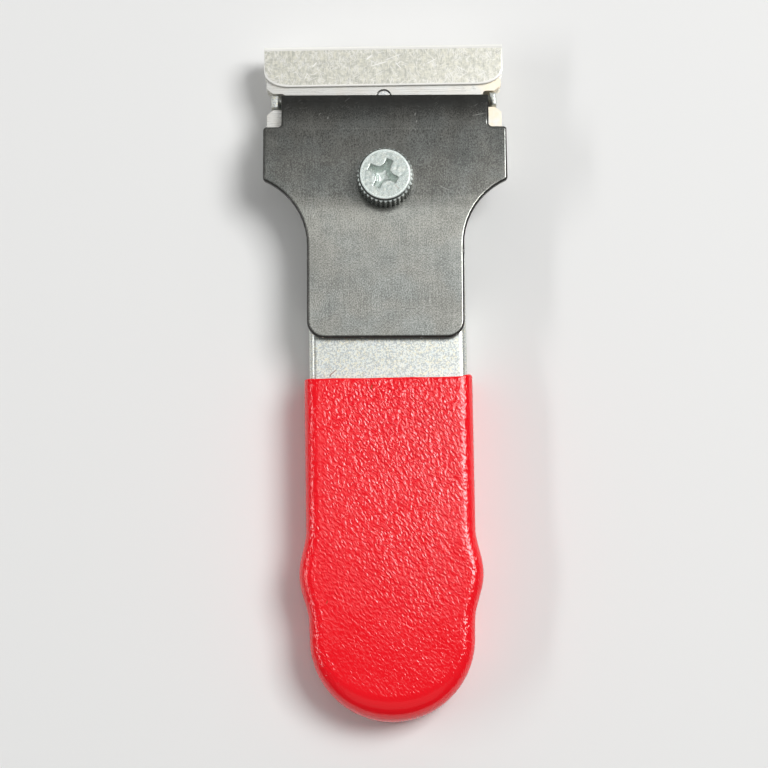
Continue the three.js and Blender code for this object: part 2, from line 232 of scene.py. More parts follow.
vinylLook = {
    "red": (0.985, 0.003, 0.014),
    "deepRed": (0.95, 0.0, 0.006),
    "redShare": 0.55,
    "ridgeRed": 0.45,
    "cloudRed": 0.5,
    "cloudSize": 6.0,
    "grainSizes": (0.34, 0.70, 0.34),
    "grainDetail": (0.6, 0.45, 0.7),  # detail, roughness, warp
    "grainTurn": -38.0,
    "grainDepth": 0.098,
    "ridgeBand": (0.2, 0.8),
    "pebbleSize": 0.34,
    "pebbleDepth": 0.014,
    "pebbleBare": 0.25,  # share of the pebble left where there is no grain
    "skinSize": 0.16,
    "skinDepth": 0.002,
    "ior": 1.64,
    "rough": 0.14,
    "cloudRough": 0.06,
    "fleck": (0.30, 0.05, 0.01),
    "fleckDark": 0.7,
    # middle x, y, turn, length, width
    "strokes": ((-2.67, -1.8, 80, 1.0, 0.4), (-10.21, -35.83, 70, 0.7, 0.22)),
}


def redVinyl(look):
    finish = Finish("redVinyl", IOR=look["ior"])
    grained = finish.attribute("grain")
    ridges = finish.grain(look["grainSizes"], *look["grainDetail"], look["grainTurn"])
    where = finish.place()
    pebble = finish.noise(where, look["pebbleSize"])
    skin = finish.noise(where, look["skinSize"])
    cloud = finish.sway(finish.noise(where, look["cloudSize"]))
    ridge = finish.band(ridges, *look["ridgeBand"])
    shade = look["redShare"] + look["ridgeRed"] * ridge * grained + look["cloudRed"] * cloud
    red = finish.mix(shade, look["deepRed"], look["red"])
    under = finish.bump(skin, look["skinDepth"])
    share = look["pebbleBare"] + (1 - look["pebbleBare"]) * grained
    pebbled = finish.bump(pebble * share, look["pebbleDepth"], under)
    fleck = marks(finish, look["strokes"]) * look["fleckDark"]
    finish.set({
        "Base Color": finish.mix(fleck, red, look["fleck"]),
        "Roughness": look["rough"] + look["cloudRough"] * cloud,
        "Normal": finish.bump(ridge * grained, look["grainDepth"], pebbled),
    })
    return finish.material


zincLook = {
    "pale": (0.84, 0.86, 0.80),
    "blue": (0.73, 0.79, 0.78),
    "blueBand": (0.46, 0.64),
    "straw": (0.87, 0.84, 0.67),
    "strawBand": (0.48, 0.66),
    "strawSize": 1.2,  # times the blue clouds
    "strawTurn": 70,
    "cloud": 0.30,
    "cloudDetail": (2.0, 0.6),
    "cloudRough": 0.1,
    "speck": 0.23,
    "speckDetail": (1.0, 0.6),
    "speckRough": 0.22,
    "speckDepth": 0.010,
    "grit": (0.36, 0.40, 0.42),
    "gritBand": (0.46, 0.58),
    "gritDark": 0.62,
    "drawnSizes": (0.12, 5.0, 1),
    "drawnBand": (0.66, 0.74),
    "drawnDark": 0.25,
    "scuff": (0.30, 0.16, 0.12),
    "scuffDark": 0.85,
    "metal": 0.62,
    "highlightMetal": 0.7,  # share of the metal look lost where the highlight is painted
    "rough": 0.33,
    # middle x, y, turn, length, width
    "strokes": ((-8.85, 0.72, 40, 1.7, 0.24), (-9.2, 0.3, 66, 0.9, 0.22)),
}


def zincPlate(name, look):
    finish = Finish(name, Metallic=look["metal"])
    where = finish.place()
    speck = finish.noise(where, look["speck"], *look["speckDetail"])
    blueCloud = finish.noise(where, look["cloud"], *look["cloudDetail"])
    turned = finish.place(turn=look["strawTurn"])
    strawCloud = finish.noise(turned, look["cloud"] * look["strawSize"], *look["cloudDetail"])
    drawn = finish.grain(look["drawnSizes"], 1.0)
    tint = finish.mix(finish.band(blueCloud, *look["blueBand"]), look["pale"], look["blue"])
    tint = finish.mix(finish.band(strawCloud, *look["strawBand"]), tint, look["straw"])
    drawnDark = finish.band(drawn, *look["drawnBand"]) * look["drawnDark"]
    gritDark = finish.band(speck, *look["gritBand"]) * look["gritDark"]
    wearAndSheen = finish.mix(finish.least(drawnDark + gritDark, 1.0), tint, look["grit"])
    if "highlightColour" in look:  # the screw: painted shade in its knurl's valleys (with some dirt), on its knurl walls and along its recess; painted highlight on its cap rim, near tooth tips and inside its recess
        wearAndSheen = finish.mix(finish.attribute("dirtAndShade"), wearAndSheen, look["dirtAndShade"])
        rubAndHighlight = finish.attribute("rubAndHighlight")
        wearAndSheen = finish.mix(rubAndHighlight, wearAndSheen, look["highlightColour"])
        finish.set({"Metallic": look["metal"] - look["metal"] * look["highlightMetal"] * rubAndHighlight})
    rough = look["rough"] + look["speckRough"] * finish.sway(speck)
    scuff = marks(finish, look["strokes"]) * look["scuffDark"]
    finish.set({
        "Base Color": finish.mix(scuff, wearAndSheen, look["scuff"]),
        "Roughness": rough + look["cloudRough"] * finish.sway(blueCloud),
        "Normal": finish.bump(speck, look["speckDepth"]),
    })
    return finish.material


screwLook = dict(
    zincLook,
    pale=(0.64, 0.70, 0.67),
    blue=(0.47, 0.54, 0.52),
    straw=(0.76, 0.80, 0.74),
    cloud=0.38,
    speck=0.22,
    grit=(0.34, 0.39, 0.35),
    gritBand=(0.50, 0.68),
    dirtAndShade=(0.05, 0.055, 0.05),
    highlightColour=(0.84, 0.92, 0.88),
    metal=0.6,
    rough=0.27,
    strokes=((1.9, 29.4, -50, 1.0, 0.10),),
)

pinLook = dict(
    zincLook,
    pale=(0.93, 0.93, 0.90),
    blue=(0.86, 0.88, 0.88),
    straw=(0.92, 0.90, 0.84),
    rough=0.38,
)

guardLook = {
    "grey": (0.60, 0.60, 0.527),
    "warm": (0.81, 0.795, 0.685),
    "blotchSize": 0.5,
    "blotchStretch": (1, 0.7, 1),
    "blotchDetail": (4.0, 0.7),
    "blotchBand": (0.34, 0.66),
    "blotchRough": 0.14,
    "grit": (0.33, 0.33, 0.285),
    "gritSize": 0.26,
    "gritDetail": (2.0, 0.6),
    "gritRough": 0.16,
    "gritHeight": 0.5,
    "hairWidth": 0.17,
    "hairLength": 1.2,
    "hairBand": (0.5, 0.7),
    "hairHeight": 0.4,
    "uprightDark": 0.34,
    "levelDark": 0.22,
    "depth": 0.006,
    "bright": (0.96, 0.95, 0.91),
    "scratches": {
        "angles": (18, -28, 58, -64, 84), "length": 1.3, "width": 0.13, "cut": 0.58, "patch": 1.6,
    },
    "scratchBright": 0.62,
    "flatBand": (0.9965, 0.9985),  # how far up a face looks before it counts as flat
    "edgeHighlight": 0.9,
    "edgeMetal": 0.7,  # share of the metal look lost on the edges, so their painted highlight shows
    "edgeRough": 0.12,
    "foldY": 53.95,
    "foldWidth": 0.14,
    "foldHighlight": 0.8,
    "foldRough": 0.35,
    "creaseTo": 0.3,
    "creaseShade": 0.25,
    "metal": 0.38,
    "rough": 0.34,
    # middle x, y, turn, length, width
    "strokes": (
        (-2.3, 52.6, 38, 1.5, 0.34),
        (-0.7, 51.5, 16, 3.4, 0.22),
        (1.6, 52.6, 20, 3.6, 0.14),
        (-11.2, 51.5, 48, 1.4, 0.26),
        (2.4, 51.2, -48, 1.6, 0.2),
        (-12.6, 49.6, 62, 1.5, 0.16),
        (7.8, 51.8, 28, 2.4, 0.14),
        (12.5, 50.6, -30, 2.0, 0.14),
    ),
}


def guardSteel(look):
    finish = Finish("guardSteel")
    where = finish.place()
    blotch = finish.noise(finish.place(look["blotchStretch"]), look["blotchSize"], *look["blotchDetail"])
    grit = finish.noise(where, look["gritSize"], *look["gritDetail"])
    upright = finish.grain((look["hairWidth"], look["hairLength"], 1))
    level = finish.grain((look["hairLength"], look["hairWidth"], 1))
    fine = scratches(finish, **look["scratches"])
    stroke = marks(finish, look["strokes"])
    far = finish.axis("Y", where)
    foldEnd = look["foldY"] + look["foldWidth"]
    fold = finish.band(far, look["foldY"], foldEnd)
    crease = fold * (1 - finish.band(far, foldEnd, look["foldY"] + look["creaseTo"]))
    # painted highlight: paler on bent edges and on the fold, with less metal look there
    bent = 1 - finish.band(finish.facing("Z"), *look["flatBand"])
    edge = finish.most(bent, fold * look["foldHighlight"])
    steel = finish.mix(finish.band(blotch, *look["blotchBand"]), look["grey"], look["warm"])
    uprightHairs = finish.band(upright, *look["hairBand"]) * look["uprightDark"]
    levelHairs = finish.band(level, *look["hairBand"]) * look["levelDark"]
    steel = finish.mix(uprightHairs + levelHairs, steel, look["grit"])
    marksAndHighlight = finish.most(fine * look["scratchBright"], finish.most(stroke, edge * look["edgeHighlight"]))
    steel = finish.mix(marksAndHighlight, steel, look["bright"])
    # painted shade in the crease just behind the fold
    steel = finish.mix(crease * look["creaseShade"], steel, look["grit"])
    rough = look["rough"] + look["gritRough"] * finish.sway(grit)
    rough = rough + look["blotchRough"] * finish.sway(blotch)
    height = grit * look["gritHeight"] + upright * look["hairHeight"] + level * look["hairHeight"]
    finish.set({
        "Base Color": steel,
        "Metallic": look["metal"] - look["metal"] * look["edgeMetal"] * edge,
        "Roughness": rough - look["edgeRough"] * edge + look["foldRough"] * fold,
        "Normal": finish.bump(height, look["depth"]),
    })
    return finish.material


bladeLook = {
    "bright": (0.84, 0.84, 0.80),
    "cream": (0.83, 0.81, 0.75),
    "creamBand": (0.42, 0.66),
    "tan": (0.88, 0.76, 0.55),
    "tanFrom": 13.0,
    "tanTo": 18.5,
    "tanWander": 5,
    "tanPatch": (0.38, 0.6),
    "tanStrength": 0.65,
    "tanRough": 0.12,
    "dirt": (0.5, 0.48, 0.44),
    "dirtBand": (0.66, 0.76),
    "dirtDark": 0.4,
    "groundSizes": (6.0, 0.06, 1),
    "groundRough": 0.08,
    "groundDepth": 0.0007,
    "cloud": 3.2,
    "cloudDetail": (3.0, 0.6),
    "speck": 0.35,
    "speckDetail": (3.0, 0.7),
    "metal": 0.6,
    "rough": 0.28,
}


def bladeSteel(look):
    finish = Finish("bladeSteel", Metallic=look["metal"])
    where = finish.place()
    ground = finish.grain(look["groundSizes"])
    cloud = finish.noise(where, look["cloud"], *look["cloudDetail"])
    speck = finish.noise(where, look["speck"], *look["speckDetail"])
    side = finish.axis("X", where) + look["tanWander"] * finish.sway(cloud)
    stain = finish.band(side, look["tanFrom"], look["tanTo"]) * finish.band(cloud, *look["tanPatch"])
    steel = finish.mix(finish.band(cloud, *look["creamBand"]), look["bright"], look["cream"])
    steel = finish.mix(stain * look["tanStrength"], steel, look["tan"])
    steel = finish.mix(finish.band(speck, *look["dirtBand"]) * look["dirtDark"], steel, look["dirt"])
    rough = look["rough"] + look["groundRough"] * finish.sway(ground)
    finish.set({
        "Base Color": steel,
        "Roughness": rough + look["tanRough"] * stain,
        "Normal": finish.bump(ground, look["groundDepth"]),
    })
    return finish.material


spineLook = {
    "grey": (0.56, 0.57, 0.58),
    "pale": (0.70, 0.71, 0.71),
    "paleBand": (0.35, 0.65),
    "rolledSizes": (7.0, 0.09, 0.09),
    "rolledDepth": 0.004,
    "cloud": 2.2,
    "cloudDetail": 3.0,
    "cloudRough": 0.2,
    "metal": 1.0,
    "rough": 0.36,
}


def spineSteel(look):
    finish = Finish("spineSteel", Metallic=look["metal"])
    rolled = finish.grain(look["rolledSizes"])
    cloud = finish.noise(finish.place(), look["cloud"], look["cloudDetail"])
    finish.set({
        "Base Color": finish.mix(finish.band(rolled, *look["paleBand"]), look["grey"], look["pale"]),
        "Roughness": look["rough"] + look["cloudRough"] * finish.sway(cloud),
        "Normal": finish.bump(rolled, look["rolledDepth"]),
    })
    return finish.material


blackLook = {
    "black": (0.174, 0.170, 0.150),
    "grey": (0.468, 0.458, 0.412),
    "blueBlack": (0.157, 0.173, 0.168),
    "blueGrey": (0.427, 0.467, 0.453),
    "tint": 6.0,
    "tintDetail": (3.0, 0.6),
    "tintBand": (0.36, 0.64),
    "tintBase": 0.25,
    "tintSwing": 0.35,
    "speckSizes": (0.16, 0.25, 0.16),
    "speckDetail": (2.0, 0.6),
    "speckGrey": 2.1,
    "speckDepth": 0.0008,
    "cloud": 3.4,
    "cloudDetail": (4.0, 0.65),
    "cloudGrey": 0.6,
    "cloudRough": 0.06,
    "rubbedSizes": (0.25, 5.0, 1),
    "rubbedGrey": 0.4,
    "greyShare": 0.42,
    "wearAndSheen": (0.56, 0.56, 0.50),
    "sheenFrom": 14.0,
    "sheenTo": 27.0,
    "sheenEnd": 28.6,
    "sheenFade": 0.8,
    "sheenBand": (0.1, 0.7),
    "sheenBase": 0.1,
    "sheenSwing": 0.25,
    "shadeColour": (0.035, 0.034, 0.032),
    "rimBand": (0.88, 0.985),  # how far up a face looks before it counts as flat
    "rimShade": 0.95,
    "rimRough": 0.12,
    "frontFrom": 24.0,
    "frontShade": 0.5,
    "noseFrom": 41.0,
    "noseTo": 45.6,
    "noseShade": 0.7,
    "notchFrom": 41.2,
    "notchFade": 0.6,
    "notchBand": (0.05, 0.2),  # how far to the right a face looks
    "notchRough": 0.45,
    "steel": (0.72, 0.72, 0.68),
    "scratches": {"angles": (24, -36), "length": 1.6, "width": 0.06, "cut": 0.70, "patch": 4.2},
    "scratchBare": 0.35,
    "strokeBare": 0.6,
    "nick": 0.9,
    "nickDetail": (3.0, 0.7),
    "nickBand": (0.60, 0.68),
    "nickFrom": (0.2, 0.4),  # nicks lie on edges that look this far up
    "nickTo": (0.55, 0.7),
    "nickBare": 0.8,
    "metal": 0.72,
    "rough": 0.22,
    # middle x, y, turn, length, width
    "strokes": (
        (15.2, 42.4, 10, 2.4, 0.14),
        (5.0, 42.6, 78, 0.5, 0.22),
        (5.2, 41.4, 70, 0.45, 0.2),
        (5.0, 40.0, 60, 0.3, 0.16),
        (-9.1, 42.2, 80, 0.5, 0.2),
        (-10.4, 42.9, 40, 0.4, 0.16),
        (-1.0, 35.6, 60, 0.9, 0.12),
        (9.6, 30.2, -24, 2.2, 0.08),
        (-6.0, 20.4, 70, 0.6, 0.1),
        (-11.6, 26.0, 62, 1.1, 0.12),
        (6.8, 12.0, 84, 1.2, 0.08),
    ),
}


def blackFinish(look):
    finish = Finish("blackFinish", Metallic=look["metal"])
    where = finish.place()
    upward = finish.facing("Z")
    far = finish.axis("Y", where)
    speck = finish.grain(look["speckSizes"], *look["speckDetail"])
    cloud = finish.sway(finish.noise(where, look["cloud"], *look["cloudDetail"]))
    # long streaks of lighter and darker tone along the plate
    rubAndHighlight = finish.grain(look["rubbedSizes"])

    # mottled grey on black, a little bluer in places
    grain = look["greyShare"] + look["speckGrey"] * finish.sway(speck) + look["cloudGrey"] * cloud
    grain = grain + look["rubbedGrey"] * finish.sway(rubAndHighlight)
    blueCloud = finish.noise(where, look["tint"], *look["tintDetail"])
    tint = look["tintBase"] + look["tintSwing"] * finish.band(blueCloud, *look["tintBand"])
    low = finish.mix(tint, look["black"], look["blueBlack"])
    high = finish.mix(tint, look["grey"], look["blueGrey"])
    black = finish.mix(finish.band(grain, 0.0, 1.0), low, high)

    # painted reflection: paler in a band behind the crank
    wearAndSheen = finish.band(far, look["sheenFrom"], look["sheenTo"])
    wearAndSheen = wearAndSheen * (1 - finish.band(far, look["sheenEnd"], look["sheenEnd"] + look["sheenFade"]))
    wearAndSheen = wearAndSheen * (look["sheenBase"] + look["sheenSwing"] * finish.band(grain, *look["sheenBand"]))
    black = finish.mix(wearAndSheen, black, look["wearAndSheen"])

    # painted shade: darker towards the nose, on the rims and inside the right notch
    rim = 1 - finish.band(upward, *look["rimBand"])
    nose = finish.band(far, look["noseFrom"], look["noseTo"])
    front = finish.band(far, look["frontFrom"], look["noseTo"])
    notch = finish.band(far, look["notchFrom"], look["notchFrom"] + look["notchFade"])
    notch = notch * finish.band(finish.facing("X"), *look["notchBand"])
    ahead = 1 - (1 - nose * look["noseShade"]) * (1 - front * look["frontShade"])
    shade = finish.most(finish.most(rim, notch) * look["rimShade"], ahead)
    black = finish.mix(shade, black, look["shadeColour"])

    # bare steel in scratches, single strokes and nicked edges
    fine = scratches(finish, **look["scratches"]) * look["scratchBare"]
    edge = finish.band(upward, *look["nickFrom"]) * (1 - finish.band(upward, *look["nickTo"]))
    chips = finish.band(finish.noise(where, look["nick"], *look["nickDetail"]), *look["nickBand"])
    nick = chips * edge * (1 - nose) * look["nickBare"]
    stroke = marks(finish, look["strokes"]) * look["strokeBare"]
    bare = finish.most(finish.most(fine, nick), stroke)
    rough = look["rough"] + look["cloudRough"] * cloud
    finish.set({
        "Base Color": finish.mix(bare, black, look["steel"]),
        "Roughness": rough + look["rimRough"] * rim + look["notchRough"] * notch,
        "Normal": finish.bump(speck, look["speckDepth"]),
    })
    return finish.material


finishes = {
    "redVinyl": redVinyl(vinylLook),
    "zincPlate": zincPlate("zincPlate", zincLook),
    "screwZinc": zincPlate("screwZinc", screwLook),
    "pinSteel": zincPlate("pinSteel", pinLook),
    "guardSteel": guardSteel(guardLook),
    "bladeSteel": bladeSteel(bladeLook),
    "spineSteel": spineSteel(spineLook),
    "blackFinish": blackFinish(blackLook),
}


# Pieces from meshes

weldGap = 1e-7  # metres
crumbGap = 1e-8


def addPiece(name, mesh, body, node, finishName):
    piece = bpy.data.objects.new(name, mesh)
    bpy.context.scene.collection.objects.link(piece)
    mesh.materials.append(finishes[finishName])
    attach(piece, body)
    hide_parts(node)
    print("piece:", name, len(mesh.polygons), "faces")
    return piece


def shadeSmooth(mesh, sharpAngle):
    for polygon in mesh.polygons:
        polygon.use_smooth = True
    mesh.set_sharp_from_angle(angle=math.radians(sharpAngle))


def meshOf(rows):
    # closed rows of points in millimetres, joined row to row; doubles are merged afterwards
    work = bmesh.new()
    made = [[work.verts.new(Vector(point) * mm) for point in row] for row in rows]
    count = len(rows[0])
    for upper, lower in zip(made, made[1:]):
        for step in range(count):
            after = (step + 1) % count
            work.faces.new((upper[step], upper[after], lower[after], lower[step]))
    return work


def toMesh(work, name, sharpAngle):
    bmesh.ops.remove_doubles(work, verts=work.verts, dist=weldGap)
    bmesh.ops.dissolve_degenerate(work, edges=work.edges, dist=crumbGap)
    bmesh.ops.recalc_face_normals(work, faces=work.faces)
    mesh = bpy.data.meshes.new(name)
    work.to_mesh(mesh)
    work.free()
    shadeSmooth(mesh, sharpAngle)
    return mesh


# Pressed and folded sheet: the frame's own solid with its edges rounded as the press leaves them

pressing = {
    "flatAngle": 0.15,  # faces that differ less are one face
    "cornerAngle": 32,  # edges that bend more are rounded
    "sharpAngle": 50,
    "crownSteps": 4,
    "levelFace": 0.99,
    "wideArea": 50,
}


def roundEdges(work, edge, steps, chosen, held=True):
    least = math.radians(pressing["cornerAngle"])
    corners = [e for e in work.edges if len(e.link_faces) == 2 and e.calc_face_angle() > least]
    bmesh.ops.bevel(
        work,
        geom=[e for e in corners if chosen(e)],
        offset=edge * mm,
        offset_type="OFFSET",
        segments=steps,
        profile=0.5,
        affect="EDGES",
        clamp_overlap=held,
    )


def pressedPiece(
    name, node, body, slot, finishName, edge, steps,
    turn=0.0, crown=None, roll=None, small=None, nip=None, held=True,
):
    work = bmesh.new()
    work.from_mesh(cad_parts[node].data)
    bmesh.ops.remove_doubles(work, verts=work.verts, dist=weldGap)
    flat = math.radians(pressing["flatAngle"])
    bmesh.ops.dissolve_limit(work, angle_limit=flat, verts=work.verts, edges=work.edges)
    if nip:  # one corner is drawn sideways
        corner, shift = nip
        nearest = min(work.verts, key=lambda v: (v.co - Vector(corner) * mm).length)
        nearest.co.x += shift * mm
    if roll:  # the free edge of the top face falls away a little
        width, drop, before = roll
        area = pressing["wideArea"] * mm * mm
        level = [f for f in work.faces if f.normal.z > pressing["levelFace"] and f.calc_area() > area]
        top = max(level, key=lambda f: f.calc_center_median().z)
        inset = bmesh.ops.inset_region(work, faces=[top], thickness=width * mm, use_even_offset=True)
        for vertex in {v for f in inset["faces"] for v in f.verts} - set(top.verts):
            if vertex.co.y < before * mm:
                vertex.co.z -= drop * mm
    if crown:  # edges above a height, and at least so far from the middle, are rounded more
        above, side, more = crown

        def raised(vertex):
            return vertex.co.z > above * mm and abs(vertex.co.x) > side * mm

        roundEdges(work, more, pressing["crownSteps"], lambda e: all(raised(v) for v in e.verts), False)
    if small:  # edges beyond this y keep a smaller round
        beyond, less = small
        roundEdges(work, edge, steps, lambda e: all(v.co.y < beyond * mm for v in e.verts), held)
        roundEdges(work, less, steps, lambda e: all(v.co.y > beyond * mm for v in e.verts))
    else:
        roundEdges(work, edge, steps, lambda e: True, held)
    if turn:  # the piece lies a little crooked about the screw, and stays inside its own width
        low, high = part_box("thumb_screw")
        spin = Matrix.Rotation(math.radians(turn), 4, "Z")
        bmesh.ops.rotate(work, cent=(low + high) / 2, matrix=spin, verts=work.verts)
        least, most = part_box(node)
        for vertex in work.verts:
            vertex.co.x = min(max(vertex.co.x, least.x), most.x)
    mesh = toMesh(work, name, pressing["sharpAngle"])
    piece = addPiece(name, mesh, body, node, finishName)
    steady = piece.modifiers.new("steadyFaces", "WEIGHTED_NORMAL")
    steady.keep_sharp = True


pressed = {
    "frameSheet": {
        "node": "handle_frame", "body": "frame", "slot": "zinc_plate", "finishName": "zincPlate",
        "edge": 0.16, "steps": 2, "crown": (7.3, 15.0, 0.32), "nip": ((17.1, 44.475, 7.9), 0.42),
    },
    "clampPlate": {
        "node": "clamp_plate", "body": "clamp", "slot": "black_oxide", "finishName": "blackFinish",
        "edge": 0.45, "steps": 4, "turn": -0.65, "small": (44.8, 0.12), "held": False,
    },
    "edgeGuard": {
        "node": "blade_guard", "body": "guard", "slot": "guard_steel", "finishName": "guardSteel",
        "edge": 0.1, "steps": 3, "roll": (0.52, 0.042, 53.5),
    },
    "clinchNut": {
        "node": "clinch_nut", "body": "frame", "slot": "zinc_plate", "finishName": "zincPlate",
        "edge": 0.16, "steps": 2,
    },
    "locatingPin": {
        "node": "locating_pin", "body": "frame", "slot": "spine_steel", "finishName": "pinSteel",
        "edge": 0.05, "steps": 2,
    },
}

for name, made in pressed.items():
    pressedPiece(name, **made)

bladeStack = {"blades": 5, "bladeEdge": 0.025, "bladeSteps": 1, "spineEdge": 0.07, "spineSteps": 2}

bladeRound = (bladeStack["bladeEdge"], bladeStack["bladeSteps"])
spineRound = (bladeStack["spineEdge"], bladeStack["spineSteps"])

for number in range(1, bladeStack["blades"] + 1):
    bladeNode = f"blade_{number}"
    pressedPiece(f"razorBlade{number}", bladeNode, "frame", "blade_steel", "bladeSteel", *bladeRound)
    spineNode = f"blade_spine_{number}"
    pressedPiece(f"bladeSpine{number}", spineNode, "frame", "spine_steel", "spineSteel", *spineRound)


# Dipped vinyl grip: a skin over both sides of the steel channel, closed round its rim and end

grip = {
    "steelHalf": 12.6,
    "endRadius": 12.2,
    "endSteps": 36,
    "sheet": 1.2,
    "coat": 0.85,
    "gap": 0.06,
    "sideBend": 1.2,
    "endBend": 3.1,
    "bendSteps": 8,
    "bulgeToEnd": 10.05,
    "bulgeLength": 14.7,
    "bulgeRise": 1.32,
    "lip": 0.3,
    "lipSteps": 3,
    "rimRound": 0.7,
    "innerFillet": 0.7,
    "rimSteps": 4,
    "columns": 44,
    "rowStep": 0.7,
    "slopeStep": 0.01,
    "sharpAngle": 60,
    # grain: inset and border are for the left side, then the right
    "grainInset": (1.3, 0.8),
    "grainBorder": (1.0, 0.4),
    "grainSwap": (-4, 4),
    "tipInset": 0.6,
    "faceDrop": (1.2, 0.6),
    "sideDrop": (3.2, 2.2),
    "sideGrain": 0.5,
    "tipGrain": 0.24,
    "tipFade": (8, -52),
    "leftGrain": 0.62,
    "leftFade": (-12, 2),
    "rightGrain": 0.75,
    "rightFade": (6, 12),
    # unevenness of the skin and of its mouth
    "ripple": 0.035,
    "rippleSize": 5.0,
    "rippleFrom": (4, 7),
    "mouthReach": 2.5,
    "mouthWave": 0.09,
    "mouthWaveSize": 3.5,
    "mouthWaveRow": 2.0,
    "mouthCorner": (11.2, 13.2),
    "mouthRight": 0.42,
    "mouthLeft": 0.12,
}


def gripHalf(y, endY):
    start = endY + grip["bulgeToEnd"] + grip["bulgeLength"] / 2
    taper = min(max((start - y) / (start - endY), 0), 1)
    phase = min(max((start - y) / grip["bulgeLength"], 0), 1)
    swell = (1 - math.cos(2 * math.pi * phase)) / 2
    return lerp(grip["steelHalf"], grip["endRadius"], taper) + grip["bulgeRise"] * swell


def gripStations(mouthY, endY):
    # points down the right side of the steel and round to the tip, each with its outward direction
    stations = []
    backY = endY + grip["bulgeToEnd"] - grip["bulgeLength"] / 2
    rows = round((mouthY - backY) / grip["rowStep"])
    probe = grip["slopeStep"]
    for row in range(rows + 1):
        y = lerp(mouthY, backY, row / rows)
        slope = (gripHalf(y + probe, endY) - gripHalf(y - probe, endY)) / (2 * probe)
        out = Vector((1, -slope)).normalized()
        stations.append((Vector((gripHalf(y, endY), y)), out, 0.0))
    for angle in quarter(grip["endSteps"])[1:]:
        out = Vector((math.cos(angle), -math.sin(angle)))
        stations.append((Vector((0, endY)) + out * grip["endRadius"], out, out.y * out.y))
    return stations


def gripSide(station, grow, webZ, rimZ):
    # one side of the channel section, grown out from the steel: down from the top, under the rim, up inside
    spot, out, tip = station
    top = webZ + grow
    low = rimZ - grow
    ceiling = webZ - grip["sheet"] - grow
    inner = -grip["sheet"] - grow
    bend = lerp(grip["sideBend"], grip["endBend"], tip) + grow
    rim = min(grow, grip["rimRound"])
    fillet = min(grow, grip["innerFillet"])
    rimTurns = quarter(grip["rimSteps"])
    path = []
    for turn in quarter(grip["bendSteps"]):
        path.append((grow - bend * (1 - math.sin(turn)), top - bend * (1 - math.cos(turn))))
    for turn in rimTurns:
        path.append((grow - rim * (1 - math.cos(turn)), low + rim * (1 - math.sin(turn))))
    for turn in rimTurns:
        path.append((inner + rim * (1 - math.sin(turn)), low + rim * (1 - math.cos(turn))))
    for turn in rimTurns:
        path.append((inner - fillet * (1 - math.cos(turn)), ceiling - fillet * (1 - math.sin(turn))))
    return [(spot.x + out.x * move, spot.y + out.y * move, z) for move, z in path]


def gripLoop(station, grow, webZ, rimZ):
    # the whole section at one station: over the top, round the right, under the ceiling, round the left
    right = gripSide(station, grow, webZ, rimZ)
    left = [(-x, y, z) for x, y, z in right]
    columns = grip["columns"]
    top = [Vector(left[0]).lerp(Vector(right[0]), c / columns) for c in range(columns)]
    ceiling = [Vector(right[-1]).lerp(Vector(left[-1]), c / columns) for c in range(columns)]
    return top + right[:-1] + ceiling + left[:0:-1]


def gripMesh():
    low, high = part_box("vinyl_grip")
    mouthY = high.y / mm
    endY = low.y / mm + grip["coat"] + grip["endRadius"]
    rimZ = grip["coat"]
    webZ = high.z / mm - grip["coat"]
    stations = gripStations(mouthY, endY)
    front = stations[0]
    skin = []
    for turn in quarter(grip["lipSteps"]):
        back = grip["lip"] * (1 - math.cos(turn))
        moved = (front[0] - Vector((0, back)), front[1], front[2])
        skin.append(gripLoop(moved, grip["coat"] - grip["lip"] * (1 - math.sin(turn)), webZ, rimZ))
    skin += [gripLoop(station, grip["coat"], webZ, rimZ) for station in stations[1:]]
    core = [gripLoop(station, grip["gap"], webZ, rimZ) for station in stations]
    rows = list(reversed(skin)) + core
    waved = [[gripRipple(Vector(point), mouthY) for point in row] for row in rows]
    mesh = toMesh(meshOf(waved), "vinylGrip", grip["sharpAngle"])
    grain = mesh.attributes.new("grain", "FLOAT", "POINT")
    topZ = webZ + grip["coat"]
    for vertex in mesh.vertices:
        grain.data[vertex.index].value = grainAt(vertex.co / mm, topZ, endY)
    return mesh


def gripRipple(spot, mouthY):
    # the coat isn't dead flat, and its dipped edge isn't dead straight
    where = spot / grip["rippleSize"]
    spot.z += grip["ripple"] * noise.noise(where) * smooth(*grip["rippleFrom"], spot.z)
    near = smooth(grip["mouthReach"], 0, mouthY - spot.y)
    size = grip["mouthWaveSize"]
    along = Vector((spot.x / size, spot.z / size, grip["mouthWaveRow"]))
    spot.y += grip["mouthWave"] * near * noise.noise(along)
    right = grip["mouthRight"] * smooth(*grip["mouthCorner"], spot.x)
    left = grip["mouthLeft"] * smooth(*grip["mouthCorner"], -spot.x)
    spot.y += near * (right + left)
    return spot


def grainAt(spot, topZ, endY):
    # how deep the grain is: most on the flat face, less to the tip and sides, none on bends and inside
    half = gripHalf(max(spot.y, endY), endY)
    inset = half - abs(spot.x)
    if spot.y < endY:
        inset = grip["endRadius"] - math.hypot(spot.x, spot.y - endY)
    tip = smooth(endY, endY - grip["endRadius"], spot.y)
    right = smooth(*grip["grainSwap"], spot.x)
    start = lerp(lerp(*grip["grainInset"], right), grip["endBend"] - grip["tipInset"], tip)
    border = lerp(*grip["grainBorder"], right)
    inner = smooth(start, start + border, inset)
    faceFrom, faceTo = [topZ - drop for drop in grip["faceDrop"]]
    sideFrom, sideTo = [topZ - drop for drop in grip["sideDrop"]]
    face = inner * smooth(faceFrom, faceTo, spot.z)
    side = grip["sideGrain"] * smooth(sideFrom, sideTo, spot.z) * (1 - tip) * (1 - inner)
    fade = lerp(1.0, grip["tipGrain"], smooth(*grip["tipFade"], spot.y))
    fade *= lerp(grip["leftGrain"], 1.0, smooth(*grip["leftFade"], spot.x))
    fade *= lerp(1.0, grip["rightGrain"], smooth(*grip["rightFade"], spot.x))
    return max(face * fade, side)


addPiece("vinylGrip", gripMesh(), "frame", "vinyl_grip", "redVinyl")


# Thumb screw: one turned surface from the shank's tip up over the knurl and down into the cross recess

